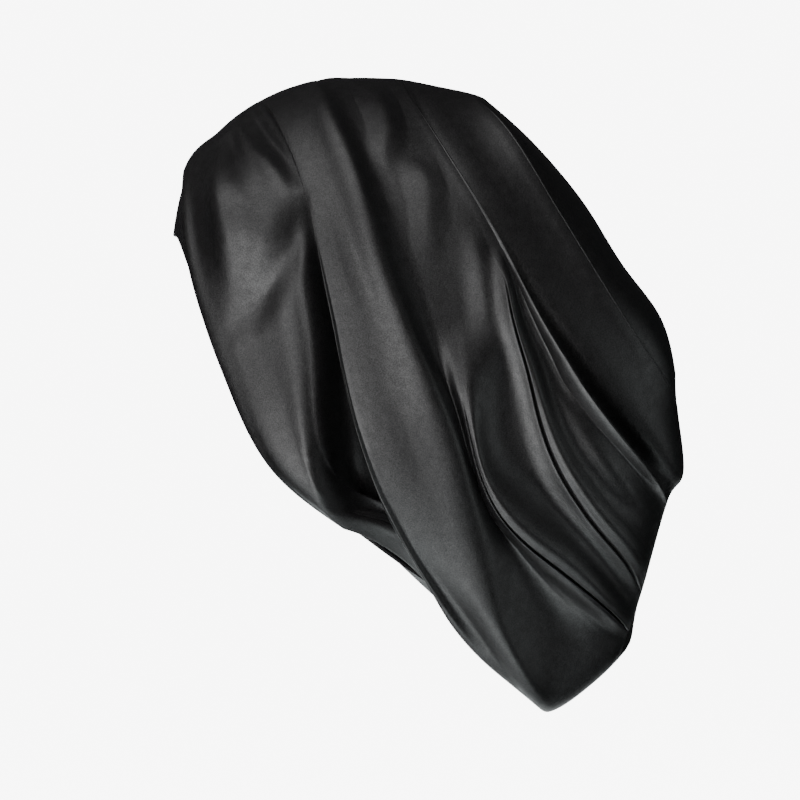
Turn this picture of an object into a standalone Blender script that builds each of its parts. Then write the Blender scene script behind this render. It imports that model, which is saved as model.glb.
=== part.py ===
"""Silk hair wrap: a gathered cloth that closes round the back of the head, over a flat brow band.

+X runs from the brow to the back, +Z up, and the near side, with the deep pleats, faces -Y. The origin is
where the crown of the head meets the inside of the cloth.
"""

import math

import bmesh
import bpy
import numpy as np

# Sizes in metres
WRAP_LENGTH = 0.2555  # brow to the back fold
WRAP_DROP = 0.3155  # crown to the tip of the tail
HALF_BREADTH = 0.092  # middle of the head to the fullest part of one side
PLEAT_RISE = 0.012  # how far the deepest pleat stands off the cloth round it
CLOTH = 0.0012  # doubled silk
CLEARANCE = 0.0004  # between the band and the cloth over it
BAND_WIDTH = 0.030
BAND_THICKNESS = 0.0016
SEAT_SHARE = 0.388  # where the crown is, as a share of the wrap's length

# Turn round the head, in degrees: 0 is the middle of the side, BACK_TURN the fold down the back
HEM_TURN = -52.0
BACK_TURN = 90.0

# The lines that the cloth runs along, from the fold over the crown (0) to the fold under the tail (1). Each
# place is (hundredths of WRAP_LENGTH from the brow, hundredths of WRAP_DROP from the tip of the tail).
# Fullness is how far the cloth stands out there, as a share of what it would on a round head.
STATIONS = (0.0, 0.2, 0.4, 0.6, 0.8, 1.0)
# fmt: off
LINES = (
    # name, turn and fullness at the six stations, then its places there
    ("brow",          -64, (1.00, 1.00, 1.10, 1.20, 1.20, 0.60),
     ((-0.6, 75.3), (1.4, 69.1), (8.6, 52.1), (18.8, 36.3), (37.2, 24.2), (52.4, 18.2))),
    ("hem",           -52, (1.05, 1.08, 1.12, 1.20, 1.15, 0.60),
     ((2.3, 85.4), (3.7, 70.8), (10.2, 53.9), (20.2, 37.9), (38.4, 26.3), (53.6, 17.9))),
    ("temple",        -38, (1.05, 1.06, 1.02, 1.04, 0.95, 0.60),
     ((9.2, 91.6), (13.5, 76.2), (20.9, 57.7), (27.8, 37.9), (43.2, 24.7), (58.3, 12.8))),
    ("pocket",        -25, (1.05, 1.08, 0.98, 0.96, 0.84, 0.60),
     ((14.5, 95.1), (21.9, 79.1), (28.6, 60.1), (31.9, 39.5), (46.0, 23.6), (64.0, 7.3))),
    ("front_lip",     -18, (1.05, 1.06, 0.96, 0.93, 0.79, 0.60),
     ((16.8, 96.2), (25.6, 80.5), (31.1, 62.0), (37.2, 41.8), (48.5, 23.1), (70.3, 1.3))),
    ("tail_ridge",     -8, (1.05, 1.03, 0.94, 0.90, 0.80, 0.60),
     ((22.5, 98.3), (30.5, 82.3), (37.0, 64.3), (44.6, 44.5), (55.8, 25.4), (75.3, -0.3))),
    ("middle_ridge",    0, (1.05, 1.02, 0.94, 0.89, 0.81, 0.60),
     ((28.2, 99.4), (35.4, 84.5), (42.5, 66.7), (52.4, 48.7), (63.2, 28.8), (85.7, 6.5))),
    ("low_crease",     10, (1.03, 1.03, 0.94, 0.89, 0.82, 0.62),
     ((34.8, 100.0), (43.2, 85.1), (51.3, 66.7), (56.8, 49.8), (65.8, 29.5), (89.2, 12.0))),
    ("high_crease",    20, (1.02, 1.04, 0.95, 0.89, 0.83, 0.65),
     ((40.3, 100.0), (50.1, 85.1), (59.9, 70.8), (67.9, 54.5), (76.3, 36.6), (91.8, 18.2))),
    ("back_lip",       32, (1.00, 1.02, 0.94, 0.90, 0.85, 0.70),
     ((45.6, 99.7), (55.8, 85.4), (65.2, 73.2), (75.1, 59.6), (85.3, 45.6), (97.1, 33.1))),
    ("recess",         44, (1.00, 1.00, 0.95, 0.93, 0.88, 0.80),
     ((51.9, 98.7), (61.1, 87.0), (70.1, 75.9), (79.5, 62.9), (89.2, 50.2), (100.2, 37.9))),
    ("crown_lip",      58, (1.00, 1.00, 0.98, 0.98, 0.95, 0.90),
     ((58.3, 97.6), (66.5, 88.9), (75.1, 78.0), (83.2, 67.4), (91.0, 57.8), (98.8, 48.5))),
    ("back",           90, (1.00, 1.00, 1.00, 1.00, 1.00, 1.00),
     ((61.1, 96.8), (70.8, 89.7), (80.2, 80.7), (87.9, 70.8), (95.7, 62.0), (98.6, 53.1))),
)

# Sections across a fold: (place across it, shift under the lip, height), each as a share of the fold's own
# width, overlap and rise. A lip rolls over towards the negative side.
SECTIONS = {
    "lip": ((-5.0, 0.00, 0.00), (-2.2, 0.55, 0.00), (-1.0, 1.00, 0.10), (-0.45, 0.85, 0.40),
            (0.0, 0.10, 0.72), (0.5, -0.10, 0.93), (1.3, 0.00, 1.00), (3.0, 0.00, 0.80),
            (6.0, 0.00, 0.30), (9.0, 0.00, 0.00)),
    "broad_lip": ((-5.0, 0.00, 0.00), (-2.2, 0.55, 0.00), (-1.0, 1.00, 0.10), (-0.45, 0.85, 0.40),
                  (0.0, 0.10, 0.70), (0.5, -0.10, 0.88), (1.3, 0.00, 0.92), (3.0, 0.00, 0.91),
                  (6.0, 0.00, 0.95), (10.0, 0.00, 1.00), (11.1, 0.00, 0.62), (12.3, 0.00, 0.20),
                  (14.0, 0.00, 0.00)),
    "ridge": ((-2.0, 0.0, 0.0), (-1.0, 0.0, 0.55), (0.0, 0.0, 1.0), (1.0, 0.0, 0.55), (2.0, 0.0, 0.0)),
    "crease": ((-5.0, 0.0, 0.0), (-3.0, 0.0, 0.60), (-1.4, 0.0, 1.0), (0.0, 0.0, 0.10),
               (1.4, 0.0, 0.90), (3.0, 0.0, 0.50), (5.0, 0.0, 0.0)),
}

# Folds: section, turn of its line, side it faces (-1 forward, 1 back), width and overlap in degrees of turn,
# and its rise at the six stations as shares of PLEAT_RISE
NEAR_FOLDS = (
    # name            section   turn  side width overlap  rise at the six stations
    ("hem_roll",      "ridge",  -50.0, -1, 2.4, 0.0, (0.10, 0.20, 0.12, 0.12, 0.10, 0.0)),
    ("temple_swell",  "ridge",  -38.0, -1, 6.0, 0.0, (0.00, 0.40, 0.40, 0.60, 0.30, 0.0)),
    ("pocket",        "ridge",  -23.0, -1, 2.6, 0.0, (0.00, 0.00, -0.45, -0.60, 0.05, 0.0)),
    ("front_lip",     "broad_lip", -18.0, -1, 1.8, 4.6, (0.00, 0.50, 0.75, 0.85, 0.60, 0.1)),
    ("tail_ridge",    "ridge",   -8.0, -1, 3.5, 0.0, (0.00, 0.00, 0.05, 0.10, 0.35, 0.1)),
    ("middle_ridge",  "ridge",    0.0, -1, 2.0, 0.0, (0.10, 0.20, 0.15, 0.12, 0.05, 0.0)),
    ("low_crease",    "crease",  10.0, -1, 1.5, 0.0, (0.00, 0.00, 0.10, 0.40, 0.55, 0.2)),
    ("high_crease",   "crease",  20.0, -1, 1.5, 0.0, (0.00, 0.00, 0.15, 0.45, 0.55, 0.2)),
    ("back_lip",      "lip",     32.0,  1, 1.6, 3.2, (0.00, 0.55, 0.75, 0.80, 0.75, 0.3)),
    ("crown_lip",     "lip",     58.0,  1, 1.8, 3.2, (0.00, 0.45, 0.55, 0.60, 0.55, 0.2)),
)
FAR_FOLDS = (
    ("hem_roll",      "ridge",  -50.0, -1, 2.4, 0.0, (0.10, 0.20, 0.12, 0.12, 0.10, 0.0)),
    ("temple_swell",  "ridge",  -36.0, -1, 6.0, 0.0, (0.00, 0.30, 0.30, 0.40, 0.20, 0.0)),
    ("front_pleat",   "ridge",  -18.0, -1, 4.0, 0.0, (0.00, 0.35, 0.50, 0.55, 0.40, 0.0)),
    ("middle_pleat",  "ridge",    4.0, -1, 4.0, 0.0, (0.10, 0.35, 0.45, 0.50, 0.30, 0.0)),
    ("back_pleat",    "ridge",   28.0, -1, 4.0, 0.0, (0.00, 0.35, 0.50, 0.50, 0.30, 0.0)),
    ("crown_pleat",   "ridge",   54.0, -1, 4.0, 0.0, (0.00, 0.25, 0.40, 0.40, 0.25, 0.0)),
)

# The band's lower edge, as (how far down, turn): it shows past the hem at the brow and is inside it elsewhere
BAND_EDGE = ((0.0, -64.0), (0.15, -63.0), (0.28, -57.0), (0.38, -50.0), (0.5, -49.5), (0.8, -49.5),
             (1.0, -49.5))
# fmt: on
BAND_ROWS = 4
# Cloth to a degree of turn, as a share of HALF_BREADTH: where there is less, the band is gathered
BAND_GATHERS = 0.0296

ROWS = 24  # from the crown fold to the tail fold
WIDEST_STEP = 8.0  # degrees of turn between two columns of the mesh
CLOSEST_STEP = 0.75
EDGE_STEP = 1e-3  # share of the way along the surface over which its slopes are taken
BACK_FADE = 12.0  # degrees of turn over which the folds die away towards the back
MERGED = 1e-6

SILK_BLACK = (0.012, 0.012, 0.013, 1.0)
BAND_BLACK = (0.016, 0.016, 0.017, 1.0)


def through(at, knots, values):
    """A smooth curve through values at the knots, read at each place in at and level past both ends."""
    knots, values, at = np.asarray(knots, float), np.asarray(values, float), np.atleast_1d(at)
    gaps = np.diff(knots).reshape((-1,) + (1,) * (values.ndim - 1))
    rates = np.diff(values, axis=0) / gaps
    slopes = np.empty_like(values)
    slopes[1:-1] = (rates[:-1] * gaps[1:] + rates[1:] * gaps[:-1]) / (gaps[1:] + gaps[:-1])
    slopes[0], slopes[-1] = 1.5 * rates[0] - 0.5 * slopes[1], 1.5 * rates[-1] - 0.5 * slopes[-2]
    span = np.clip(np.searchsorted(knots, at, side="right") - 1, 0, len(knots) - 2)
    shape = (-1,) + (1,) * (values.ndim - 1)
    gap = (knots[span + 1] - knots[span]).reshape(shape)
    share = np.clip((at - knots[span]) / (knots[span + 1] - knots[span]), 0.0, 1.0).reshape(shape)
    bend = share * share * (3.0 - 2.0 * share)
    start = share * (1.0 - share) ** 2 * gap * slopes[span]
    end = share * share * (share - 1.0) * gap * slopes[span + 1]
    return values[span] * (1.0 - bend) + values[span + 1] * bend + start + end


def smooth_place(turns, down):
    """Points of the near side without its folds, for turns at one place down the cloth (0 to 1)."""
    station = 0.5 - 0.5 * math.cos(math.pi * down)
    fullness = through(station, STATIONS, [[line[2][k] for line in LINES] for k in range(len(STATIONS))])[0]
    places = through(station, STATIONS, [[line[3][k] for line in LINES] for k in range(len(STATIONS))])[0]
    # The lines are placed by how far across the side each one lies, seen flat on
    knots = np.sin(np.radians([line[1] for line in LINES]))
    across = through(np.sin(np.radians(turns)), knots, np.column_stack([places, fullness]))
    depth = HALF_BREADTH * across[:, 2] * math.sin(math.pi * down) * np.cos(np.radians(turns))
    return np.column_stack([
        (across[:, 0] / 100.0 - SEAT_SHARE) * WRAP_LENGTH,
        -depth,
        (across[:, 1] / 100.0 - 1.0) * WRAP_DROP + CLOTH,
    ])


def outward(turns, down):
    """Unit directions out of the near side's smooth surface."""
    step = BACK_TURN * EDGE_STEP
    turns = np.minimum(turns, BACK_TURN - step)
    down = min(max(down, EDGE_STEP), 1.0 - EDGE_STEP)
    along_turn = smooth_place(turns + step, down) - smooth_place(turns - step, down)
    along_down = smooth_place(turns, down + EDGE_STEP) - smooth_place(turns, down - EDGE_STEP)
    normal = np.cross(along_down, along_turn)
    return normal / np.linalg.norm(normal, axis=1, keepdims=True)


def folded(turns, down, folds):
    """Points of the near side with the folds rolled into it."""
    station = 0.5 - 0.5 * math.cos(math.pi * down)
    shift, height = np.zeros(len(turns)), np.zeros(len(turns))
    for _name, section, line, side, width, overlap, rises in folds:
        rise = through(station, STATIONS, rises)[0]
        place, under, up = zip(*SECTIONS[section])
        at = -side * (turns - line) / width
        if overlap:
            shift -= side * overlap * min(max(rise, 0.0) / max(rises), 1.0) * through(at, place, under)
        height += PLEAT_RISE * rise * through(at, place, up)
    shift[0] = shift[-1] = 0.0
    moved = np.clip(turns + shift, HEM_TURN, BACK_TURN)
    fade = np.minimum(1.0, (BACK_TURN - turns) / BACK_FADE)
    return smooth_place(moved, down) + outward(moved, down) * (height * fade)[:, None]


def columns():
    """Turns of the mesh's columns: where the folds' sections bend, and evenly in between."""
    wanted = {HEM_TURN, BACK_TURN}
    for _name, section, line, side, width, _overlap, _rises in NEAR_FOLDS:
        wanted.update(line - side * width * row[0] for row in SECTIONS[section])
    turns = [HEM_TURN]
    for turn in sorted(wanted) + [BACK_TURN]:
        if turn - turns[-1] < CLOSEST_STEP or turn > BACK_TURN - CLOSEST_STEP and turn != BACK_TURN:
            continue
        steps = math.ceil((turn - turns[-1]) / WIDEST_STEP)
        turns.extend(turns[-1] + (turn - turns[-1]) * k / steps for k in range(1, steps))
        turns.append(turn)
    return np.array(turns)


def make_object(name, points, faces, wall, colour, roughness):
    """An open surface given a wall inwards, with its own material."""
    mesh = bpy.data.meshes.new(name)
    mesh.from_pydata([tuple(p) for p in points], [], faces)
    mesh.update()
    body = bmesh.new()
    body.from_mesh(mesh)
    bmesh.ops.remove_doubles(body, verts=body.verts, dist=MERGED)
    body.to_mesh(mesh)
    body.free()
    mesh.shade_smooth()
    piece = bpy.data.objects.new(name, mesh)
    collection.objects.link(piece)
    solidify = piece.modifiers.new("cloth", "SOLIDIFY")
    solidify.thickness = wall
    solidify.offset = -1.0
    material = bpy.data.materials.new(name)
    material.use_nodes = True
    shader = material.node_tree.nodes["Principled BSDF"]
    shader.inputs["Base Color"].default_value = colour
    shader.inputs["Roughness"].default_value = roughness
    mesh.materials.append(material)
    return piece


def make_wrap():
    """Near and far side as one surface, joined along the crown, the back and under the tail."""
    turns = columns()
    downs = [row / ROWS for row in range(ROWS + 1)]
    points, faces, number = [], [], {}
    for side, folds in ((-1, NEAR_FOLDS), (1, FAR_FOLDS)):
        for i, down in enumerate(downs):
            line = folded(turns, down, folds)
            for j, point in enumerate(line):
                on_seam = i in (0, ROWS) or j == len(turns) - 1
                if on_seam and (0, i, j) in number:
                    continue
                if on_seam:
                    point = smooth_place(turns[j:j + 1], down)[0] * (1.0, 0.0, 1.0)
                number[(0 if on_seam else side, i, j)] = len(points)
                points.append((point[0], point[1] * -side, point[2]))
        for i in range(ROWS):
            for j in range(len(turns) - 1):
                corners = ((i, j), (i, j + 1), (i + 1, j + 1), (i + 1, j))
                face = []
                for a, b in corners:
                    on_seam = a in (0, ROWS) or b == len(turns) - 1
                    face.append(number[(0 if on_seam else side, a, b)])
                faces.append(face[::side])
    make_object("silk_wrap", points, faces, CLOTH, SILK_BLACK, 0.35)


def make_band():
    """A flat loop just inside the cloth, from the middle of the brow round to the nape and back."""
    stations, edges = zip(*BAND_EDGE)
    points, faces = [], []
    rings = 2 * ROWS
    for ring in range(rings):
        down = 1.0 - abs(1.0 - ring / ROWS)
        side = 1.0 if ring <= ROWS else -1.0
        edge = through(down, stations, edges)[0]
        reach = smooth_place(np.array([edge, edge + 1.0]), down)
        across = BAND_WIDTH / max(np.linalg.norm(reach[1] - reach[0]), BAND_GATHERS * HALF_BREADTH)
        turns = edge + np.linspace(0.0, across, BAND_ROWS + 1)
        line = smooth_place(turns, down) - outward(turns, down) * (CLOTH + CLEARANCE)
        if ring in (0, ROWS):
            line[:, 1] = 0.0
        points.extend((x, y * side, z) for x, y, z in line)
    for ring in range(rings):
        for row in range(BAND_ROWS):
            a, b = ring * (BAND_ROWS + 1) + row, (ring + 1) % rings * (BAND_ROWS + 1) + row
            faces.append((a, b, b + 1, a + 1))
    make_object("brow_band", points, faces, BAND_THICKNESS, BAND_BLACK, 0.45)


for old in list(bpy.data.objects):
    bpy.data.objects.remove(old, do_unlink=True)
collection = bpy.data.collections.new("silk_hair_wrap")
bpy.context.scene.collection.children.link(collection)
make_wrap()
make_band()
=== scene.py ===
"""Silk hair wrap: black silk charmeuse gathered over a flat brow band, in its worn form.

Metres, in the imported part's frame: +X runs from the brow to the back, +Z up, and the side with the deep
pleats faces -Y. The origin is on the inside of the cloth, at the crown.
"""

import math

import bpy
import numpy as np
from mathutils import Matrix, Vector


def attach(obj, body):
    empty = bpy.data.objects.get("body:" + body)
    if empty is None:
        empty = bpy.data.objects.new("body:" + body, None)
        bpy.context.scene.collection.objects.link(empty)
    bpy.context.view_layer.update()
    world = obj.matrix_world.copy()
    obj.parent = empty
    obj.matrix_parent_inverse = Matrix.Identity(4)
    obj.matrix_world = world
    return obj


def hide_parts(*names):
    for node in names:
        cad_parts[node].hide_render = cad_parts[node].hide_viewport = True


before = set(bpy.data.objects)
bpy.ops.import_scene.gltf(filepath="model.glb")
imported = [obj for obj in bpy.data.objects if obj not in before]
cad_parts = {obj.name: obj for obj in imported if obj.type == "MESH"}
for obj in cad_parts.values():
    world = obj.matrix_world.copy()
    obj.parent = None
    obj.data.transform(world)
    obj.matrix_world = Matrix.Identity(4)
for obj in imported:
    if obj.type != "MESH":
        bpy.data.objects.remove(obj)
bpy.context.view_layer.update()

# The wrap
# One doubled cloth of black silk charmeuse, satin face out. It is gathered over the crown and under the
# tail, closes round the back, and lies in pleats that only the gathers hold.
WRAP_LENGTH = 0.2555  # brow to the back fold
WRAP_DROP = 0.3155  # crown to the tip of the tail
HALF_BREADTH = 0.092  # middle plane to the fullest part of one side
PLEAT_RISE = 0.012  # what a fold whose rise is 1 stands off the cloth round it
CLOTH = 0.0012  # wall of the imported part, whose outer face this cloth keeps
SILK = 0.0006  # two layers of charmeuse pressed together
SEAT_SHARE = 0.388  # where the crown is, as a share of the wrap's length

# Turn round the wrap, in degrees: 0 is the middle of its side
HEM_TURN = -52.0
BACK_TURN = 90.0
BACK_FADE = 12.0  # how far before the back fold the pleats start to die away
SLOPE_STEP = 1e-3  # share of the way along the surface over which its slopes are taken

# The lines that the cloth runs along, from the fold over the crown to the fold under the tail. A place is
# (hundredths of WRAP_LENGTH from the brow, hundredths of WRAP_DROP from the tip of the tail), and fullness
# is how far the cloth stands out there, as a share of what it would on a round form.
STATIONS = (0.0, 0.2, 0.4, 0.6, 0.8, 1.0)
LINES = (
    # name, turn and fullness at the six stations, then its places there
    ("brow", -64, (1.00, 1.00, 1.10, 1.20, 1.20, 0.60),
     ((-0.6, 75.3), (1.4, 69.1), (8.6, 52.1), (18.8, 36.3), (37.2, 24.2), (52.4, 18.2))),
    ("hem", -52, (1.05, 1.08, 1.12, 1.20, 1.15, 0.60),
     ((2.3, 85.4), (3.7, 70.8), (10.2, 53.9), (20.2, 37.9), (38.4, 26.3), (53.6, 17.9))),
    ("temple", -38, (1.05, 1.06, 1.02, 1.04, 0.95, 0.60),
     ((9.2, 91.6), (13.5, 76.2), (20.9, 57.7), (27.8, 37.9), (43.2, 24.7), (58.3, 12.8))),
    ("pocket", -25, (1.05, 1.08, 0.98, 0.96, 0.84, 0.60),
     ((14.5, 95.1), (21.9, 79.1), (28.6, 60.1), (31.9, 39.5), (46.0, 23.6), (64.0, 7.3))),
    ("front_lip", -18, (1.05, 1.06, 0.96, 0.93, 0.79, 0.60),
     ((16.8, 96.2), (25.6, 80.5), (31.1, 62.0), (37.2, 41.8), (48.5, 23.1), (70.3, 1.3))),
    ("tail_ridge", -8, (1.05, 1.03, 0.94, 0.90, 0.80, 0.60),
     ((22.5, 98.3), (30.5, 82.3), (37.0, 64.3), (44.6, 44.5), (55.8, 25.4), (75.9, 0.2))),
    ("middle_ridge", 0, (1.05, 1.02, 0.94, 0.89, 0.81, 0.60),
     ((28.2, 99.4), (35.4, 84.5), (42.5, 66.7), (52.4, 48.7), (63.2, 28.8), (85.7, 6.5))),
    ("low_crease", 10, (1.03, 1.03, 0.94, 0.89, 0.82, 0.62),
     ((34.8, 100.0), (43.2, 85.1), (51.3, 66.7), (56.8, 49.8), (65.8, 29.5), (89.2, 12.0))),
    ("high_crease", 20, (1.02, 1.04, 0.95, 0.89, 0.83, 0.65),
     ((40.3, 100.0), (50.1, 85.1), (59.9, 70.8), (67.9, 54.5), (76.3, 36.6), (91.8, 18.2))),
    ("back_lip", 32, (1.00, 1.02, 0.94, 0.90, 0.85, 0.70),
     ((45.6, 99.7), (55.8, 85.4), (65.2, 73.2), (75.1, 59.6), (85.3, 45.6), (97.1, 33.1))),
    ("recess", 44, (1.00, 1.00, 0.95, 0.93, 0.88, 0.80),
     ((51.9, 98.7), (61.1, 87.0), (70.1, 75.9), (79.5, 62.9), (89.2, 50.2), (100.2, 37.9))),
    ("crown_lip", 58, (1.00, 1.00, 0.98, 0.98, 0.95, 0.90),
     ((58.3, 97.6), (66.5, 88.9), (75.1, 78.0), (83.2, 67.4), (91.0, 57.8), (98.8, 48.5))),
    ("back", 90, (1.00, 1.00, 1.00, 1.00, 1.00, 1.00),
     ((61.1, 96.8), (70.8, 89.7), (80.2, 80.7), (87.9, 70.8), (95.7, 62.0), (98.6, 53.1))),
)
# The far side is plain, and its cloth would fold back on itself along the low crease
FAR_LINES = tuple(line for line in LINES if line[0] != "low_crease")

# Sections across a fold: (place across it, shift under the lip, height), as shares of the fold's width,
# overlap and rise. Places run towards the back on a fold that faces forward, and the other way round.
SECTIONS = {
    "lip": ((-10.0, 0.00, 0.00), (-7.0, 0.00, -0.08), (-4.5, 0.10, -0.34), (-2.2, 0.55, -0.86),
            (-1.0, 1.00, -0.80), (-0.5, 0.92, 0.10), (-0.15, 0.36, 0.80), (0.15, 0.00, 0.98),
            (0.6, -0.12, 0.97), (1.5, 0.00, 0.80), (3.0, 0.00, 0.52), (5.5, 0.00, 0.20),
            (9.0, 0.00, 0.00)),
    "thin_lip": ((-10.0, 0.0, 0.0), (-7.0, 0.0, -0.08), (-4.5, 0.10, -0.34), (-2.2, 0.55, -0.86),
                 (-1.0, 1.0, -0.80), (-0.5, 0.92, 0.10), (-0.15, 0.36, 0.80), (0.1, 0.0, 0.96),
                 (0.3, -0.06, 0.90), (0.6, 0.0, 0.52), (1.0, 0.0, 0.20), (1.6, 0.0, 0.05),
                 (2.4, 0.0, 0.0)),
    "broad_lip": ((-5.0, 0.00, 0.00), (-2.2, 0.55, 0.00), (-1.0, 1.00, 0.04), (-0.5, 0.92, 0.36),
                  (-0.15, 0.36, 0.62), (0.15, 0.00, 0.74), (0.8, -0.10, 0.83), (2.0, 0.00, 0.89),
                  (3.5, 0.00, 0.92), (6.0, 0.00, 0.95), (9.4, 0.00, 1.00), (10.2, 0.00, 0.90),
                  (11.2, 0.00, 0.50), (12.4, 0.00, 0.14), (14.0, 0.00, 0.00)),
    "ridge": ((-2.0, 0.0, 0.0), (-1.0, 0.0, 0.55), (0.0, 0.0, 1.0), (1.0, 0.0, 0.55), (2.0, 0.0, 0.0)),
    "crest": ((-6.0, 0.0, 0.0), (-3.0, 0.0, 0.40), (-1.0, 0.0, 0.88), (0.0, 0.0, 1.0), (0.7, 0.0, 0.82),
              (1.5, 0.0, 0.35), (2.5, 0.0, 0.06), (3.5, 0.0, 0.0)),
    "twin": ((-3.3, 0.0, 0.0), (-2.2, 0.0, 0.15), (-1.2, 0.0, 0.48), (-0.4, 0.0, 0.84), (0.0, 0.0, 0.95),
             (0.5, 0.0, 1.03), (1.3, 0.0, 1.16), (2.2, 0.0, 0.96), (3.2, 0.0, 0.52), (4.2, 0.0, 0.16),
             (5.2, 0.0, 0.0)),
    "slit": ((-0.8, 0.0, 0.0), (-0.35, 0.0, 0.22), (0.0, 0.0, 1.0), (0.35, 0.0, 0.22), (0.8, 0.0, 0.0)),
    "hollow": ((-2.2, 0.0, 0.0), (-1.2, 0.0, 0.05), (-0.6, 0.0, 0.22), (-0.35, 0.0, 0.55),
               (-0.15, 0.0, 0.93), (0.0, 0.0, 1.0), (0.3, 0.0, 1.0), (0.42, 0.0, 0.50), (0.52, 0.0, 0.04),
               (0.7, 0.0, 0.0)),
}

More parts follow.
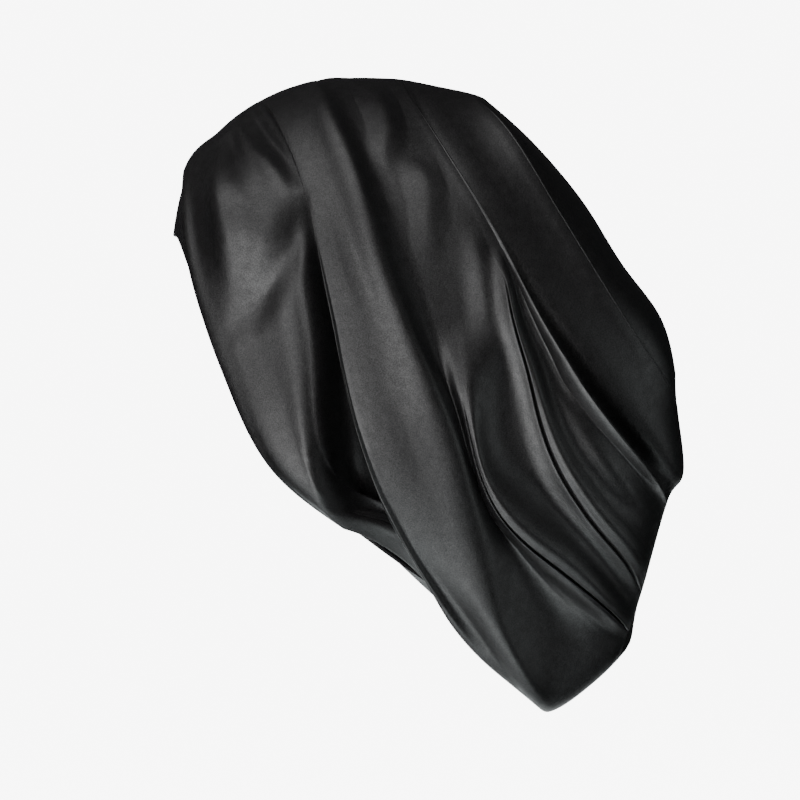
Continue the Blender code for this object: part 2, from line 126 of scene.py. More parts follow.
# Folds of the near side: name, section, side it faces (-1 forward, 1 back), overlap in degrees, and its
# path down the cloth as (station, turn, width in degrees, rise as a share of PLEAT_RISE)
NEAR_FOLDS = (
    ("brow_rim", "ridge", -1, 0.0,
     ((0.0, -50.5, 1.0, 0.0), (0.08, -50.5, 1.1, 0.10), (0.22, -50.5, 1.1, 0.10),
      (0.32, -50.5, 1.0, 0.0))),
    ("brow_swell", "crest", 1, 0.0,
     ((0.0, -40.5, 2.6, 0.0), (0.05, -39.8, 2.9, 0.20), (0.1, -39.0, 3.1, 0.62), (0.16, -38.8, 3.1, 1.00),
      (0.22, -39.6, 2.9, 0.72), (0.28, -41.0, 2.5, 0.20), (0.32, -42.0, 2.4, 0.0))),
    ("brow_notch", "ridge", -1, 0.0,
     ((0.02, -34.0, 1.8, 0.0), (0.06, -34.0, 1.8, -0.24), (0.12, -32.5, 2.0, -0.20),
      (0.18, -31.0, 2.2, 0.0))),
    ("crown_dent", "ridge", -1, 0.0,
     ((0.0, -23.0, 3.5, 0.0), (0.03, -22.5, 3.8, -0.36), (0.07, -21.5, 3.2, -0.44),
      (0.12, -19.5, 2.4, -0.30), (0.2, -18.5, 1.6, 0.0))),
    ("little_fold", "crest", 1, 0.0,
     ((0.09, -24.0, 1.0, 0.0), (0.13, -23.0, 1.0, 0.10), (0.18, -21.5, 1.0, 0.08),
      (0.22, -20.5, 1.0, 0.0))),
    ("slant_dent", "ridge", -1, 0.0,
     ((0.19, -19.0, 3.5, 0.0), (0.235, -22.0, 3.5, -0.26), (0.28, -28.0, 4.0, -0.34),
      (0.325, -36.0, 4.0, -0.28), (0.37, -43.0, 4.0, 0.0))),
    ("temple_dent", "ridge", -1, 0.0,
     ((0.34, -41.0, 1.6, 0.0), (0.38, -42.5, 1.6, -0.09), (0.43, -42.0, 1.6, -0.06),
      (0.48, -41.0, 1.6, 0.0))),
    ("temple_swell", "ridge", -1, 0.0,
     ((0.05, -34.0, 7.0, 0.0), (0.2, -33.0, 7.0, 0.30), (0.4, -34.0, 7.0, 0.35), (0.6, -36.0, 7.0, 0.45),
      (0.8, -40.0, 6.0, 0.20), (1.0, -40.0, 6.0, 0.0))),
    ("pocket", "hollow", -1, 0.0,
     ((0.2, -18.5, 3.0, 0.0), (0.3, -19.5, 6.0, -0.70), (0.4, -20.4, 7.5, -1.35),
      (0.5, -21.1, 7.0, -1.65), (0.6, -21.5, 7.0, -1.75), (0.67, -23.0, 9.0, -1.75),
      (0.73, -24.6, 12.0, -1.70), (0.82, -26.0, 14.0, -1.45), (0.9, -27.0, 14.0, -0.80),
      (0.97, -27.0, 14.0, 0.0))),
    ("pocket_mouth", "ridge", -1, 0.0,
     ((0.56, -29.0, 4.0, 0.0), (0.63, -30.0, 5.0, -0.70), (0.69, -33.0, 6.5, -1.40),
      (0.77, -36.5, 8.5, -1.60), (0.84, -39.0, 9.0, -1.30), (0.9, -40.0, 9.0, -0.80),
      (0.96, -40.0, 8.0, 0.0))),
    ("front_lip", "broad_lip", -1, 4.6,
     ((0.0, -16.5, 1.7, 0.0), (0.06, -15.5, 1.6, 0.30), (0.2, -16.0, 1.7, 0.50), (0.4, -16.8, 1.75, 0.75),
      (0.6, -18.0, 1.8, 0.85), (0.72, -19.0, 1.8, 0.72), (0.8, -19.5, 1.6, 0.56),
      (0.9, -21.0, 1.25, 0.40), (1.0, -20.0, 1.0, 0.0))),
    ("band_dent", "ridge", -1, 0.0,
     ((0.22, -5.5, 2.0, 0.0), (0.3, -5.5, 2.2, -0.08), (0.4, -4.5, 2.2, -0.09), (0.5, -3.5, 2.0, -0.03),
      (0.56, -3.0, 2.0, 0.0))),
    ("tail_ridge", "crest", -1, 0.0,
     ((0.66, -3.5, 2.4, 0.0), (0.74, -4.5, 2.8, 0.10), (0.81, -4.7, 3.0, 0.22), (0.88, -6.6, 3.0, 0.32),
      (0.95, -10.3, 2.8, 0.30), (1.0, -11.5, 2.4, 0.0))),
    ("tail_hollow", "ridge", -1, 0.0,
     ((0.76, 0.5, 2.2, 0.0), (0.83, 0.0, 2.6, -0.12), (0.88, -1.0, 3.2, -0.22), (0.93, -1.5, 3.4, -0.22),
      (0.98, -1.5, 3.2, 0.0))),
    ("tail_dent", "ridge", -1, 0.0,
     ((0.76, -15.6, 1.8, 0.0), (0.82, -15.0, 2.4, -0.22), (0.88, -14.6, 2.6, -0.34),
      (0.93, -14.6, 2.4, -0.30), (0.98, -15.0, 2.0, -0.08), (1.0, -15.0, 1.8, 0.0))),
    ("middle_ridge", "crest", -1, 0.0,
     ((0.0, -1.0, 1.4, 0.05), (0.06, -0.5, 1.4, 0.20), (0.2, 0.5, 1.6, 0.26), (0.4, 0.5, 1.5, 0.20),
      (0.6, -0.5, 1.2, 0.14), (0.72, -1.0, 1.2, 0.08), (0.82, -1.0, 1.2, 0.0))),
    ("crown_swell", "ridge", -1, 0.0,
     ((0.02, 15.0, 3.5, 0.0), (0.07, 15.0, 3.5, 0.24), (0.12, 13.5, 3.0, 0.24), (0.17, 9.5, 2.4, 0.12),
      (0.21, 8.0, 2.0, 0.0))),
    ("side_swell", "ridge", -1, 0.0,
     ((0.18, 17.5, 3.0, 0.0), (0.23, 16.5, 3.0, 0.16), (0.28, 14.5, 2.6, 0.16), (0.33, 12.0, 2.2, 0.07),
      (0.37, 10.0, 2.0, 0.0))),
    ("long_swell", "ridge", -1, 0.0,
     ((0.34, 21.0, 1.6, 0.0), (0.42, 19.0, 1.8, 0.18), (0.54, 17.0, 1.8, 0.16), (0.66, 15.5, 1.6, 0.0))),
    ("low_rims", "twin", -1, 0.0,
     ((0.48, 10.4, 1.7, 0.0), (0.55, 9.9, 1.8, 0.34), (0.61, 8.4, 1.6, 0.58), (0.7, 6.9, 1.5, 0.76),
      (0.79, 9.1, 1.6, 0.92), (0.88, 11.4, 1.6, 0.92), (0.95, 11.3, 1.5, 0.62), (1.0, 10.4, 1.4, 0.0))),
    ("low_crease", "slit", -1, 0.0,
     ((0.61, 8.6, 0.5, 0.0), (0.66, 7.6, 0.5, -0.18), (0.7, 7.0, 0.55, -0.30), (0.75, 7.8, 0.6, -0.34),
      (0.81, 9.7, 0.6, -0.34), (0.88, 11.4, 0.6, -0.34), (0.97, 11.2, 0.6, -0.18),
      (1.0, 10.4, 0.6, 0.0))),
    ("low_flank", "crest", -1, 0.0,
     ((0.76, 6.0, 0.8, 0.0), (0.82, 7.5, 0.9, 0.16), (0.88, 9.0, 1.0, 0.26), (0.95, 9.5, 1.0, 0.22),
      (1.0, 9.0, 1.0, 0.0))),
    ("high_swell", "ridge", -1, 0.0,
     ((0.4, 23.0, 1.3, 0.0), (0.46, 22.2, 1.5, 0.30), (0.52, 20.7, 1.5, 0.34), (0.6, 20.1, 1.5, 0.20),
      (0.68, 19.6, 1.5, 0.0))),
    ("high_rims", "twin", -1, 0.0,
     ((0.4, 24.0, 0.8, 0.0), (0.46, 22.3, 0.8, 0.22), (0.52, 20.7, 0.8, 0.26), (0.6, 20.2, 0.8, 0.36),
      (0.72, 19.4, 0.85, 0.52), (0.85, 19.6, 1.0, 0.78), (0.95, 20.2, 1.2, 0.62), (1.0, 20.0, 1.4, 0.0))),
    ("high_crease", "slit", -1, 0.0,
     ((0.45, 22.6, 0.4, 0.0), (0.5, 21.2, 0.45, -0.18), (0.6, 20.2, 0.5, -0.25), (0.72, 19.4, 0.5, -0.26),
      (0.85, 19.6, 0.5, -0.24), (0.95, 20.2, 0.5, -0.18), (1.0, 20.0, 0.5, 0.0))),
    ("side_panel", "ridge", -1, 0.0,
     ((0.67, 25.2, 2.4, 0.0), (0.75, 26.0, 3.0, 0.42), (0.83, 26.4, 3.2, 0.80), (0.92, 26.6, 3.1, 0.70),
      (1.0, 26.6, 3.0, 0.0))),
    ("back_lip_start", "lip", 1, 3.2,
     ((0.0, 29.0, 1.3, 0.0), (0.1, 28.5, 1.3, 0.26), (0.2, 28.5, 1.4, 0.38), (0.32, 28.0, 1.5, 0.46),
      (0.42, 27.9, 1.5, 0.36), (0.52, 27.9, 1.5, 0.18), (0.62, 28.4, 1.5, 0.0))),
    ("back_lip", "thin_lip", 1, 3.2,
     ((0.0, 29.0, 1.3, 0.0), (0.3, 28.1, 1.4, 0.0), (0.38, 27.9, 1.5, 0.04), (0.46, 27.9, 1.5, 0.14),
      (0.54, 27.9, 1.6, 0.38), (0.64, 28.6, 1.7, 0.74), (0.8, 30.4, 1.7, 0.84), (0.93, 31.2, 1.6, 0.58),
      (1.0, 31.5, 1.5, 0.0))),
    ("crown_lip", "lip", 1, 3.2,
     ((0.0, 55.0, 1.6, 0.0), (0.1, 55.5, 1.6, 0.40), (0.4, 54.5, 1.6, 0.55), (0.6, 54.5, 1.6, 0.60),
      (0.8, 55.0, 1.6, 0.55), (0.93, 55.6, 1.6, 0.38), (1.0, 56.0, 1.6, 0.0))),
)
FAR_FOLDS = (
    ("temple_swell", "ridge", -1, 0.0,
     ((0.0, -36.0, 6.0, 0.0), (0.2, -36.0, 6.0, 0.30), (0.6, -36.0, 6.0, 0.40), (1.0, -36.0, 6.0, 0.0))),
    ("front_pleat", "ridge", -1, 0.0,
     ((0.0, -18.0, 4.0, 0.0), (0.2, -18.0, 4.0, 0.35), (0.6, -18.0, 4.0, 0.55), (1.0, -18.0, 4.0, 0.0))),
    ("middle_pleat", "ridge", -1, 0.0,
     ((0.0, 4.0, 4.0, 0.1), (0.2, 4.0, 4.0, 0.35), (0.6, 4.0, 4.0, 0.50), (1.0, 4.0, 4.0, 0.0))),
    ("back_pleat", "ridge", -1, 0.0,
     ((0.0, 28.0, 4.0, 0.0), (0.2, 28.0, 4.0, 0.35), (0.6, 28.0, 4.0, 0.50), (1.0, 28.0, 4.0, 0.0))),
    ("crown_pleat", "ridge", -1, 0.0,
     ((0.0, 54.0, 4.0, 0.0), (0.2, 54.0, 4.0, 0.25), (0.6, 54.0, 4.0, 0.40), (1.0, 54.0, 4.0, 0.0))),
)


def through(at, knots, values):
    """A smooth curve through values at the knots, read at each place in at and level past both ends."""
    knots, values, at = np.asarray(knots, float), np.asarray(values, float), np.atleast_1d(at)
    gaps = np.diff(knots).reshape((-1,) + (1,) * (values.ndim - 1))
    rates = np.diff(values, axis=0) / gaps
    slopes = np.empty_like(values)
    slopes[1:-1] = (rates[:-1] * gaps[1:] + rates[1:] * gaps[:-1]) / (gaps[1:] + gaps[:-1])
    slopes[0], slopes[-1] = 1.5 * rates[0] - 0.5 * slopes[1], 1.5 * rates[-1] - 0.5 * slopes[-2]
    span = np.clip(np.searchsorted(knots, at, side="right") - 1, 0, len(knots) - 2)
    shape = (-1,) + (1,) * (values.ndim - 1)
    gap = (knots[span + 1] - knots[span]).reshape(shape)
    share = np.clip((at - knots[span]) / (knots[span + 1] - knots[span]), 0.0, 1.0).reshape(shape)
    bend = share * share * (3.0 - 2.0 * share)
    start = share * (1.0 - share) ** 2 * gap * slopes[span]
    end = share * share * (share - 1.0) * gap * slopes[span + 1]
    return values[span] * (1.0 - bend) + values[span + 1] * bend + start + end


def station_of(down):
    """The station at a place down the cloth, which goes from 0 to 1 in equal angles of its round form."""
    return 0.5 - 0.5 * math.cos(math.pi * down)


def smooth_place(turns, down, lines=LINES):
    """Points of a side without its folds, in one row: down is 0 at the crown fold and 1 at the tail's."""
    _names, line_turns, fullness, places = zip(*lines)
    station = station_of(down)
    fullness = through(station, STATIONS, np.swapaxes(fullness, 0, 1))[0]
    places = through(station, STATIONS, np.swapaxes(places, 0, 1))[0]
    knots = np.sin(np.radians(line_turns))
    across = through(np.sin(np.radians(turns)), knots, np.column_stack([places, fullness]))
    depth = HALF_BREADTH * across[:, 2] * math.sin(math.pi * down) * np.cos(np.radians(turns))
    return np.column_stack([
        (across[:, 0] / 100.0 - SEAT_SHARE) * WRAP_LENGTH,
        -depth,
        (across[:, 1] / 100.0 - 1.0) * WRAP_DROP + CLOTH,
    ])


def outward(turns, down, lines=LINES):
    """Unit directions out of the smooth surface at smooth_place's points."""
    step = BACK_TURN * SLOPE_STEP
    turns = np.minimum(turns, BACK_TURN - step)
    down = min(max(down, SLOPE_STEP), 1.0 - SLOPE_STEP)
    along_turn = smooth_place(turns + step, down, lines) - smooth_place(turns - step, down, lines)
    along_down = (smooth_place(turns, down + SLOPE_STEP, lines)
                  - smooth_place(turns, down - SLOPE_STEP, lines))
    normal = np.cross(along_down, along_turn)
    return normal / np.linalg.norm(normal, axis=1, keepdims=True)


def fold_shape(turns, down, folds):
    """How far the folds move the cloth along the surface, in degrees, and out of it, in metres."""
    station = station_of(down)
    shift, height = np.zeros(len(turns)), np.zeros(len(turns))
    for _name, section, side, overlap, path in folds:
        stations, paths = [row[0] for row in path], [row[1:] for row in path]
        line, width, rise = through(station, stations, paths)[0]
        highest = max(row[3] for row in path)
        place, under, up = zip(*SECTIONS[section])
        at = -side * (turns - line) / width
        if overlap:
            shift -= side * overlap * min(max(rise, 0.0) / highest, 1.0) * through(at, place, under)
        height += PLEAT_RISE * rise * through(at, place, up)
    return shift, height


def folded(turns, down, lines, folds):
    """Points of a side with its folds rolled into it. The far side is mirrored later."""
    shift, height = fold_shape(turns, down, folds)
    shift[0] = shift[-1] = 0.0
    moved = np.clip(turns + shift, HEM_TURN, BACK_TURN)
    fade = np.minimum(1.0, (BACK_TURN - turns) / BACK_FADE)
    return smooth_place(moved, down, lines) + outward(moved, down, lines) * (height * fade)[:, None]


ROWS = 108  # from the crown fold to the tail fold
COLUMNS = 300  # from the hem to the back fold
FAR_SHARE = 3  # the far side has one column in this many
TURN_SAMPLES = 2001  # turns at which the columns' spacing is worked out
# How much closer the columns lie at a fold's line than between the folds, and over how many fold widths
CLOSER = {"lip": 4.0, "thin_lip": 5.0, "broad_lip": 4.0, "slit": 8.0}
CLOSER_WIDTHS = 1.6
# The long folds, whose lines the columns follow down the cloth
FOLLOWED = ("front_lip", "middle_ridge", "low_crease", "high_crease", "back_lip", "crown_lip")
HEM_ROLL = 0.0009  # radius of the turned edge
HEM_DEPTH = 5.0  # degrees of turn that the turned edge reaches back inside
ROLL_STEPS = 6  # points round the turned edge
HEM_STEPS = 4  # steps along its inner layer


def fold_line(path, station):
    """The turn of a fold's line at a station."""
    return through(station, [row[0] for row in path], [row[1] for row in path])[0]


def even_columns():
    """Turns of the mesh's columns where the folds lie on average, closest along their lines."""
    turns = np.linspace(HEM_TURN, BACK_TURN, TURN_SAMPLES)
    density = np.ones(len(turns))
    for _name, section, _side, _overlap, path in NEAR_FOLDS:
        line, width = np.mean([row[1] for row in path]), np.mean([row[2] for row in path])
        density += CLOSER.get(section, 0.0) * np.exp(-(((turns - line) / (CLOSER_WIDTHS * width)) ** 2))
    count = np.concatenate([[0.0], np.cumsum((density[1:] + density[:-1]) / 2.0)])
    return np.interp(np.linspace(0.0, count[-1], COLUMNS + 1), count, turns)


def columns(even, down):
    """The columns' turns at one place down the cloth, where they follow the long folds' lines."""
    paths = [path for name, _section, _side, _overlap, path in NEAR_FOLDS if name in FOLLOWED]
    usual = [HEM_TURN] + [float(np.mean([row[1] for row in path])) for path in paths] + [BACK_TURN]
    here = [HEM_TURN] + [fold_line(path, station_of(down)) for path in paths] + [BACK_TURN]
    return np.interp(even, usual, here)


def turned_edge(line, turns, down, lines, folds):
    """The hem's turned edge, from the end of its inner layer round to just short of the hem."""
    out = outward(turns[:1], down, lines)[0]
    beyond = line[0] - line[1]
    beyond -= out * beyond.dot(out)
    beyond /= np.linalg.norm(beyond)
    inner = HEM_TURN + np.linspace(HEM_DEPTH, 0.0, HEM_STEPS + 1)
    strip = folded(inner, down, lines, folds) - outward(inner, down, lines) * 2.0 * HEM_ROLL
    strip += line[0] - strip[-1] - out * 2.0 * HEM_ROLL
    angles = np.linspace(math.pi, 0.0, ROLL_STEPS + 2)[1:-1, None]
    roll = line[0] - out * HEM_ROLL + HEM_ROLL * (out * np.cos(angles) + beyond * np.sin(angles))
    return np.vstack([strip, roll])


def wrap_points():
    """Grids of points for the near and the far side: rows down the cloth, columns from hem to back."""
    even = even_columns()
    sides = []
    for lines, folds, mirror in ((LINES, NEAR_FOLDS, 1.0), (FAR_LINES, FAR_FOLDS, -1.0)):
        grid = []
        for row in range(ROWS + 1):
            down = row / ROWS
            turns = columns(even, down)
            flat = row in (0, ROWS)  # along the crown and tail folds, where the sides meet
            line = smooth_place(turns, down, lines) if flat else folded(turns, down, lines, folds)
            line = np.vstack([turned_edge(line, turns, down, lines, folds), line])
            if flat:
                line[:, 1] = 0.0
            line[-1, 1] = 0.0
            grid.append(line * (1.0, mirror, 1.0))
        sides.append(np.array(grid))
    sides[1][:, -1] = sides[0][:, -1]
    return sides


def wrap_mesh():
    """Both sides as one surface, sharing the crown fold, the back fold and the fold under the tail."""
    near, far = wrap_points()
    count = near.shape[1]
    edge = ROLL_STEPS + HEM_STEPS + 1  # columns of the turned edge, which both sides keep whole
    points = [near.reshape(-1, 3)]
    number_near = np.arange(near.shape[0] * count).reshape(near.shape[:2])
    kept = list(range(edge)) + list(range(edge, count, FAR_SHARE))
    number_far = np.full(near.shape[:2], -1)
    number_far[0], number_far[-1] = number_near[0], number_near[-1]
    number_far[:, -1] = number_near[:, -1]
    inner = [(i, j) for i in range(1, ROWS) for j in kept[:-1]]
    for place, (i, j) in enumerate(inner):
        number_far[i, j] = near.shape[0] * count + place
    points.append(np.array([far[i, j] for i, j in inner]))
    faces = []
    for i in range(ROWS):
        for j in range(count - 1):
            faces.append((number_near[i + 1, j], number_near[i + 1, j + 1],
                          number_near[i, j + 1], number_near[i, j]))
        for a, b in zip(kept[:-1], kept[1:]):
            top = [number_far[i, c] for c in (range(a, b + 1) if i == 0 else (a, b))]
            low = [number_far[i + 1, c] for c in (range(b, a - 1, -1) if i == ROWS - 1 else (b, a))]
            faces.append(tuple(top + low))
    mesh = bpy.data.meshes.new("silk_wrap_cloth")
    mesh.from_pydata(np.vstack(points).tolist(), [], [tuple(int(v) for v in face) for face in faces])
    mesh.update()
    mesh.shade_smooth()
    return mesh


def linear(code):
    """An sRGB hex colour in the shader's linear values, opaque."""
    parts = [int(code[k:k + 2], 16) / 255.0 for k in (1, 3, 5)]
    return [p / 12.92 if p <= 0.04045 else ((p + 0.055) / 1.055) ** 2.4 for p in parts] + [1.0]


def add(tree, kind, settings=None, links=None):
    """Adds a node with its settings, and feeds its inputs from other nodes' outputs or with values."""
    made = tree.nodes.new(kind)
    for name, value in (settings or {}).items():
        setattr(made, name, value)
    for name, value in (links or {}).items():
        if isinstance(value, bpy.types.NodeSocket):
            tree.links.new(value, made.inputs[name])
        else:
            made.inputs[name].default_value = value
    return made


# The weave's grain is a few floats together, coarser than one thread so that it shows, and the slubs are the
# soft unevenness that thicker threads and pressing leave.
GRAIN_MM = 0.6
GRAIN_DEPTH = 0.00012
SLUB_MM = 5.0
SLUB_DEPTH = 0.0004
MIDDLE_NOISE = {"From Min": 0.3, "From Max": 0.7}  # where most of a noise's values lie
DYE_SPREAD = 0.45  # how far the grain's colour strays from the dye's, as a share of it
SHINE = (0.36, 0.64)  # specular level, least and greatest
GLOSS_SPREAD = 0.05  # how far the slubs take the roughness from its middle
# Silk's refraction, and a faint grey bloom from fibre ends that catch light from the side
SILK_FACE = {"IOR": 1.54, "Sheen Weight": 0.05, "Sheen Roughness": 0.4, "Sheen Tint": linear("#8a8b90")}


def charmeuse(name, base, roughness):
    """Silk charmeuse: long satin floats give a soft broad gloss, and the fine weave breaks it into grain."""
    material = bpy.data.materials.new(name)
    material.use_nodes = True
    tree = material.node_tree
    shader = tree.nodes["Principled BSDF"]
    for socket, value in SILK_FACE.items():
        shader.inputs[socket].default_value = value
    place = add(tree, "ShaderNodeTexCoord")
    grain = add(tree, "ShaderNodeTexNoise", {"noise_dimensions": "3D"},
                {"Vector": place.outputs["Object"], "Scale": 1000.0 / GRAIN_MM, "Detail": 2.0})
    slub = add(tree, "ShaderNodeTexNoise", {"noise_dimensions": "3D"},
               {"Vector": place.outputs["Object"], "Scale": 1000.0 / SLUB_MM, "Detail": 3.0})
    dye = add(tree, "ShaderNodeMix", {"data_type": "RGBA"}, {"Factor": grain.outputs["Fac"]})
    for end, share in (("A", 1.0 - DYE_SPREAD), ("B", 1.0 + DYE_SPREAD)):
        dye.inputs[end].default_value = [share * part for part in linear(base)[:3]] + [1.0]
    tree.links.new(dye.outputs["Result"], shader.inputs["Base Color"])
    shine = add(tree, "ShaderNodeMapRange", None,
                {"Value": grain.outputs["Fac"], **MIDDLE_NOISE, "To Min": SHINE[0], "To Max": SHINE[1]})
    tree.links.new(shine.outputs["Result"], shader.inputs["Specular IOR Level"])
    gloss = add(tree, "ShaderNodeMapRange", None,
                {"Value": slub.outputs["Fac"], **MIDDLE_NOISE,
                 "To Min": roughness - GLOSS_SPREAD, "To Max": roughness + GLOSS_SPREAD})
    tree.links.new(gloss.outputs["Result"], shader.inputs["Roughness"])
    mottle = add(tree, "ShaderNodeBump", None,
                 {"Height": slub.outputs["Fac"], "Strength": 0.35, "Distance": SLUB_DEPTH})
    bump = add(tree, "ShaderNodeBump", None,
               {"Height": grain.outputs["Fac"], "Strength": 0.5, "Distance": GRAIN_DEPTH,
                "Normal": mottle.outputs["Normal"]})
    tree.links.new(bump.outputs["Normal"], shader.inputs["Normal"])
    return material


wrap = bpy.data.objects.new("silk_wrap_cloth", wrap_mesh())
bpy.context.scene.collection.objects.link(wrap)
wall = wrap.modifiers.new("wall", "SOLIDIFY")
wall.thickness = SILK
wall.offset = -1.0
wrap.data.materials.append(charmeuse("silk_charmeuse_black", base="#191819", roughness=0.50))
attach(wrap, "root")
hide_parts("silk_wrap")

# The brow band
# A flat elastic in a tube of the same silk, so its cloth is gathered all along. It makes a closed loop just
# inside the hem and shows past it at the brow.
BAND_WIDTH = 0.030
BAND_THICKNESS = 0.0016
BAND_GATHERS = 0.0296  # least length of a degree of turn, as a share of HALF_BREADTH, or the band narrows
BAND_CLEARANCE = 0.0004  # between the band and the hem's inner layer
# Its outer edge, as (place down the cloth, turn)
BAND_EDGE = ((0.0, -64.0), (0.12, -63.0), (0.2, -60.5), (0.28, -56.0), (0.38, -50.0), (0.5, -49.5),
             (0.8, -49.5), (1.0, -49.5))
BAND_RINGS = 640  # sections round the loop
BAND_FACE = 8  # steps across each face
BAND_FOLD = 5  # steps round each edge
RUCHE = 0.0004  # how far the gathers stand off the elastic
RUCHES = 130  # gathers round the loop


def band_mesh():
    """Rings of the band's closed section, from the middle of the brow down the near side and back up."""
    stations, edges = zip(*BAND_EDGE)
    points = []
    half = BAND_THICKNESS / 2.0
    across_share = np.linspace(0.0, 1.0, BAND_FACE + 1)
    for ring in range(BAND_RINGS):
        down = 1.0 - abs(1.0 - 2.0 * ring / BAND_RINGS)
        mirror = 1.0 if 2 * ring <= BAND_RINGS else -1.0
        edge = through(down, stations, edges)[0]
        reach = smooth_place(np.array([edge, edge + 1.0]), down)
        across = BAND_WIDTH / max(np.linalg.norm(reach[1] - reach[0]), BAND_GATHERS * HALF_BREADTH)
        turns = edge + across_share * across
        out = outward(turns, down)
        dents = np.minimum(0.0, fold_shape(turns, down, NEAR_FOLDS if mirror > 0.0 else FAR_FOLDS)[1])
        middle = smooth_place(turns, down) + out * (dents - 2.0 * HEM_ROLL - BAND_CLEARANCE - half)[:, None]
        ripple = RUCHE * math.sin(2.0 * math.pi * RUCHES * ring / BAND_RINGS)
        rise = half + ripple * np.sin(math.pi * across_share)
        low, high = middle[0] - middle[1], middle[-1] - middle[-2]
        low, high = low / np.linalg.norm(low), high / np.linalg.norm(high)
        fold = np.linspace(0.0, math.pi, BAND_FOLD + 1)[1:-1, None]
        outer = middle + out * rise[:, None]
        top = middle[-1] + half * (out[-1] * np.cos(fold) + high * np.sin(fold))
        inner = (middle - out * half)[::-1]
        bottom = middle[0] + half * (-out[0] * np.cos(fold) + low * np.sin(fold))
        section = np.vstack([outer, top, inner, bottom])
        if ring in (0, BAND_RINGS // 2):
            section[:, 1] = 0.0
        points.append(section * (1.0, mirror, 1.0))
    size = len(points[0])
    faces = []
    for ring in range(BAND_RINGS):
        for k in range(size):
            a, b = ring * size, (ring + 1) % BAND_RINGS * size
            faces.append((a + k, a + (k + 1) % size, b + (k + 1) % size, b + k))
    mesh = bpy.data.meshes.new("brow_band_silk")
    mesh.from_pydata(np.vstack(points).tolist(), [], faces)
    mesh.update()
    mesh.shade_smooth()
    return mesh


band = bpy.data.objects.new("brow_band_silk", band_mesh())
bpy.context.scene.collection.objects.link(band)
band.data.materials.append(charmeuse("band_charmeuse_black", base="#1a191a", roughness=0.52))
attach(band, "root")
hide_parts("brow_band")

# The studio
# A pale floor that sweeps up all round into a pale wall. Large soft lights stand at the camera's left, low,
# high and below, weaker cool ones at its right and below, and one low behind shows the far side's folds.
FRAME_WIDTH = 0.4  # what the picture spans at the object's middle
FRAME_CENTRE = (0.0149, 0.0, -0.1598)
LENS = 300.0  # millimetres, as is the sensor's width
SENSOR = 36.0
FLOOR_Z = -0.42
SWEEP_RADIUS = 6.0
SWEEP_HEIGHT = 5.0
SWEEP_BEND = 1.5
SWEEP_BEND_STEPS = 12
SWEEP_AROUND = 96
LIGHT_DISTANCE = 2.0
# Degrees from the camera to its right and upwards, side of the square in metres, watts and colour
SOFTBOXES = (
    ("key_softbox", -30.0, -24.0, 1.8, 62.0, "#ffffff"),
    ("top_softbox", -34.0, 44.0, 2.0, 36.0, "#ffffff"),
    ("low_softbox", -46.0, -62.0, 1.4, 26.0, "#f4fafa"),
    ("low_side_softbox", 34.0, -70.0, 1.0, 10.0, "#eef8f8"),
    ("side_softbox", 74.0, -8.0, 1.2, 7.0, "#f2f9f9"),
    ("back_softbox", 180.0, -38.0, 1.8, 26.0, "#f2f9f9"),
)
AIR_GLOW = 0.012  # of the room beyond the lights


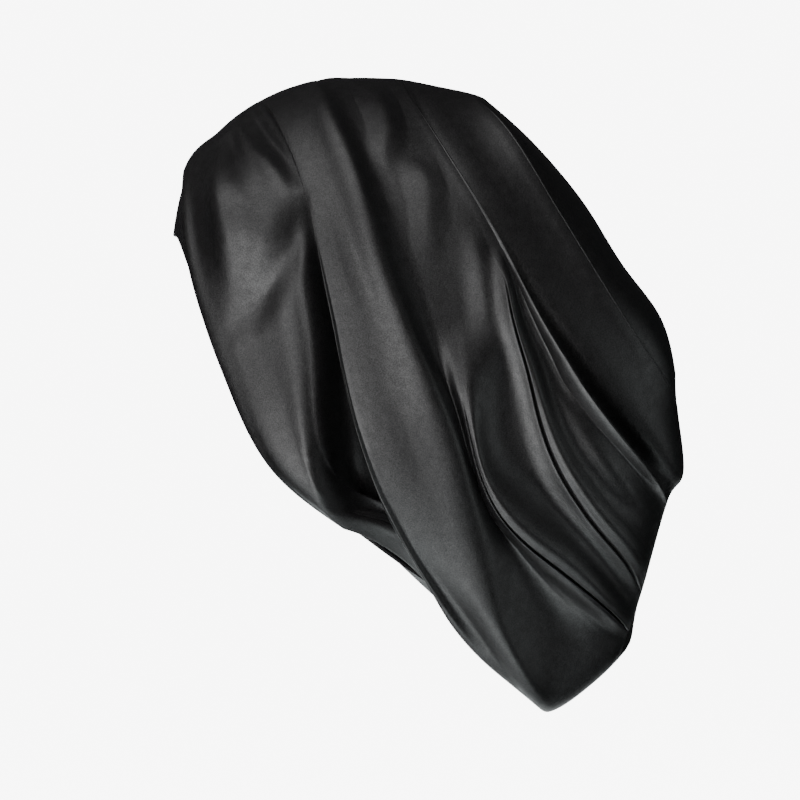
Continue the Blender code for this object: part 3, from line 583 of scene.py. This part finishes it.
def sweep_mesh():
    """Floor and wall as one surface of revolution."""
    flat = SWEEP_RADIUS - SWEEP_BEND
    bends = np.linspace(0.0, math.pi / 2.0, SWEEP_BEND_STEPS + 1)
    profile = [(flat + SWEEP_BEND * math.sin(a), SWEEP_BEND - SWEEP_BEND * math.cos(a)) for a in bends]
    profile.append((SWEEP_RADIUS, SWEEP_HEIGHT))
    points = [(0.0, 0.0, FLOOR_Z)]
    for radius, height in profile:
        for k in range(SWEEP_AROUND):
            angle = 2.0 * math.pi * k / SWEEP_AROUND
            points.append((radius * math.cos(angle), radius * math.sin(angle), FLOOR_Z + height))
    after = [(k + 1) % SWEEP_AROUND for k in range(SWEEP_AROUND)]
    faces = [(0, 1 + k, 1 + after[k]) for k in range(SWEEP_AROUND)]
    for ring in range(len(profile) - 1):
        a, b = 1 + ring * SWEEP_AROUND, 1 + (ring + 1) * SWEEP_AROUND
        faces += [(a + k, b + k, b + after[k], a + after[k]) for k in range(SWEEP_AROUND)]
    mesh = bpy.data.meshes.new("studio_sweep")
    mesh.from_pydata(points, [], faces)
    mesh.update()
    mesh.shade_smooth()
    return mesh


def backdrop_paper():
    """Matt paper that glows evenly, so the ground behind the cloth reads as one clear pale tone."""
    material = bpy.data.materials.new("backdrop_paper")
    material.use_nodes = True
    inputs = material.node_tree.nodes["Principled BSDF"].inputs
    inputs["Base Color"].default_value = linear("#f2f2f0")
    inputs["Roughness"].default_value = 0.9
    inputs["Emission Color"].default_value = linear("#ffffff")
    inputs["Emission Strength"].default_value = 8.0
    return material


sweep = bpy.data.objects.new("studio_sweep", sweep_mesh())
bpy.context.scene.collection.objects.link(sweep)
sweep.data.materials.append(backdrop_paper())
sweep.visible_glossy = False
sweep.visible_diffuse = False


def softbox(name, turn, height, size, power, colour):
    """A square soft light aimed at the middle of the wrap."""
    light = bpy.data.lights.new(name, "AREA")
    light.shape = "SQUARE"
    light.size = size
    light.energy = power
    light.color = linear(colour)[:3]
    turn, height = math.radians(turn), math.radians(height)
    away = Vector((math.sin(turn) * math.cos(height), -math.cos(turn) * math.cos(height), math.sin(height)))
    made = bpy.data.objects.new(name, light)
    made.location = Vector(FRAME_CENTRE) + away * LIGHT_DISTANCE
    made.rotation_mode = "QUATERNION"
    made.rotation_quaternion = away.to_track_quat("Z", "Y")
    made.visible_camera = False
    bpy.context.scene.collection.objects.link(made)


for row in SOFTBOXES:
    softbox(*row)

world = bpy.data.worlds.new("studio_air")
world.use_nodes = True
world.node_tree.nodes["Background"].inputs["Color"].default_value = linear("#ffffff")
world.node_tree.nodes["Background"].inputs["Strength"].default_value = AIR_GLOW
bpy.context.scene.world = world

lens = bpy.data.cameras.new("camera")
lens.lens = LENS
lens.sensor_width = SENSOR
lens.clip_end = 100.0
camera = bpy.data.objects.new("camera", lens)
camera.location = (FRAME_CENTRE[0], FRAME_CENTRE[1] - FRAME_WIDTH * LENS / SENSOR, FRAME_CENTRE[2])
camera.rotation_euler = (math.pi / 2.0, 0.0, 0.0)
bpy.context.scene.collection.objects.link(camera)
bpy.context.scene.camera = camera
